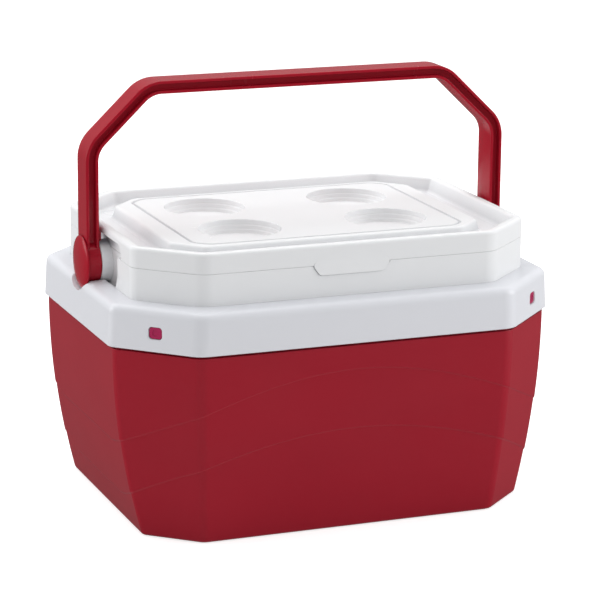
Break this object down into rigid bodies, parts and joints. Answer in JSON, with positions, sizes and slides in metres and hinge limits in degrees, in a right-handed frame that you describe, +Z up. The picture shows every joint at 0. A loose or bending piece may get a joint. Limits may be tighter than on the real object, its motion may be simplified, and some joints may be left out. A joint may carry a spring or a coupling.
{
  "type": "hard-sided cooler chest",
  "caption": "Hard-sided picnic cooler chest with a lift-off insulated lid that has cup recesses, a bail handle on two hubs, and a collar round its neck.",
  "frame": {"origin": "centre of the footprint, on the face it rests on", "axes": "+X along the length, through the right-hand hub; -Y is the front; +Z up"},
  "size_m": [0.4044, 0.312, 0.3735],
  "materials": {
    "casing_plastic": "satin moulded polypropylene, red",
    "handle_plastic": "satin moulded polypropylene, red",
    "clip_plastic": "semi-gloss, slightly pink red",
    "collar_plastic": "semi-gloss, cool white",
    "white_plastic": "semi-gloss moulded white",
    "pin_plastic": "smooth acetal",
    "foam": "rigid insulating foam"
  },
  "bodies": {
    "chest": {"body_shell": "casing_plastic", "body_foam": "foam", "liner": "white_plastic", "collar": "collar_plastic", "collar_clip_front_left": "clip_plastic", "collar_clip_front_right": "clip_plastic", "collar_clip_rear_left": "clip_plastic", "collar_clip_rear_right": "clip_plastic", "pivot_pin_left": "pin_plastic", "pivot_pin_right": "pin_plastic"},
    "bail": {"handle": "handle_plastic", "pivot_cap_left": "handle_plastic", "pivot_cap_right": "handle_plastic"},
    "lid": {"lid_cover": "white_plastic", "lid_foam": "foam", "lid_plug": "white_plastic"}
  },
  "joints": [
    {"name": "handle_swing", "type": "hinge", "parent": "chest", "child": "bail", "pos_m": [0, 0, 0.218], "axis": [1, 0, 0], "range_deg": [-90, 90]},
    {"name": "lid_lift", "type": "slide", "parent": "chest", "child": "lid", "axis": [0, 0, 1], "range_m": [0, 0.06]}
  ]
}
